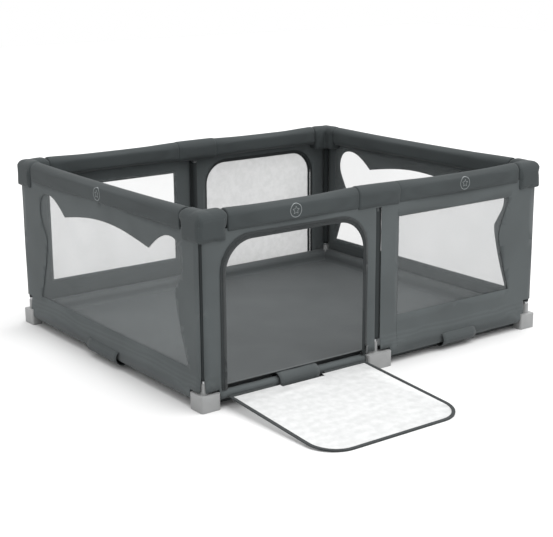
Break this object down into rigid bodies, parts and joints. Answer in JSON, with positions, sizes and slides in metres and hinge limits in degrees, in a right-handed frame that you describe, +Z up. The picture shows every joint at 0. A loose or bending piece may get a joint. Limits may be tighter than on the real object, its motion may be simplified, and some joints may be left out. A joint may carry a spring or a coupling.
{
  "type": "playpen",
  "caption": "Rectangular playpen with a tube frame, padded top rails, fabric walls with mesh windows and two zipped doors that fold down.",
  "frame": {"origin": "middle of the pen on the surface it stands on", "axes": "+X along the long sides, +Y from the front with the open door to the back, +Z up"},
  "size_m": [1.6, 1.8528, 0.68],
  "materials": {
    "steel_tube": "satin zinc-plated",
    "foot_plastic": "fine moulded grain",
    "connector_plastic": "moulded",
    "pad_fabric": "plain-weave polyester over foam",
    "cap_fabric": "plain-weave polyester over foam",
    "wall_fabric": "plain-weave polyester",
    "window_mesh": "fine open knitted mesh",
    "door_mesh": "fine open knitted mesh",
    "binding_fabric": "ribbed binding tape",
    "zip_tape": "woven tape with moulded teeth",
    "zip_metal": "tumbled",
    "band_fabric": "plain-weave polyester",
    "sleeve_fabric": "plain-weave polyester",
    "floor_fabric": "coated polyester over thin foam"
  },
  "bodies": {
    "root": {"front_left_post": "steel_tube", "front_right_post": "steel_tube", "back_left_post": "steel_tube", "back_right_post": "steel_tube", "front_mid_post": "steel_tube", "back_mid_post": "steel_tube", "front_left_top_rail": "steel_tube", "front_right_top_rail": "steel_tube", "back_left_top_rail": "steel_tube", "back_right_top_rail": "steel_tube", "left_top_rail": "steel_tube", "right_top_rail": "steel_tube", "front_left_low_rail": "steel_tube", "front_right_low_rail": "steel_tube", "back_left_low_rail": "steel_tube", "back_right_low_rail": "steel_tube", "left_low_rail": "steel_tube", "right_low_rail": "steel_tube", "front_left_foot": "foot_plastic", "front_right_foot": "foot_plastic", "back_left_foot": "foot_plastic", "back_right_foot": "foot_plastic", "front_mid_foot": "foot_plastic", "back_mid_foot": "foot_plastic", "corner_connectors": "connector_plastic", "mid_connectors": "connector_plastic", "front_left_pad": "pad_fabric", "front_right_pad": "pad_fabric", "back_left_pad": "pad_fabric", "back_right_pad": "pad_fabric", "left_pad": "pad_fabric", "right_pad": "pad_fabric", "front_left_cap": "cap_fabric", "front_right_cap": "cap_fabric", "back_left_cap": "cap_fabric", "back_right_cap": "cap_fabric", "front_mid_cover": "pad_fabric", "back_mid_cover": "pad_fabric", "front_wall": "wall_fabric", "back_wall": "wall_fabric", "left_wall": "wall_fabric", "right_wall": "wall_fabric", "front_window_mesh": "window_mesh", "back_window_mesh": "window_mesh", "left_window_mesh": "window_mesh", "right_window_mesh": "window_mesh", "zip_tapes": "zip_tape", "support_bands": "band_fabric", "post_sleeves": "sleeve_fabric", "floor_mat": "floor_fabric"},
    "front_door": {"front_door_mesh": "door_mesh", "front_door_binding": "binding_fabric"},
    "back_door": {"back_door_mesh": "door_mesh", "back_door_binding": "binding_fabric"},
    "front_slider": {"front_zip_slider": "zip_metal"},
    "back_slider": {"back_zip_slider": "zip_metal"},
    "front_pull": {"front_zip_pull": "zip_metal"},
    "back_pull": {"back_zip_pull": "zip_metal"}
  },
  "joints": [
    {"name": "front_door_fold", "type": "hinge", "parent": "root", "child": "front_door", "pos_m": [-0.392, -0.661, 0.04], "axis": [1, 0, 0], "range_deg": [-94.09, 0]},
    {"name": "back_door_fold", "type": "hinge", "parent": "root", "child": "back_door", "pos_m": [0.392, 0.661, 0.04], "axis": [1, 0, 0], "range_deg": [-94.09, 0]},
    {"name": "front_zip_slide", "type": "slide", "parent": "root", "child": "front_slider", "axis": [0, 0, 1], "range_m": [0, 0.35]},
    {"name": "back_zip_slide", "type": "slide", "parent": "root", "child": "back_slider", "axis": [0, 0, 1], "range_m": [0, 0.35]},
    {"name": "front_pull_swing", "type": "hinge", "parent": "front_slider", "child": "front_pull", "pos_m": [-0.086, -0.6596, 0.094], "axis": [1, 0, 0], "range_deg": [-150, 0]},
    {"name": "back_pull_swing", "type": "hinge", "parent": "back_slider", "child": "back_pull", "pos_m": [0.086, 0.6596, 0.094], "axis": [1, 0, 0], "range_deg": [0, 150]}
  ]
}
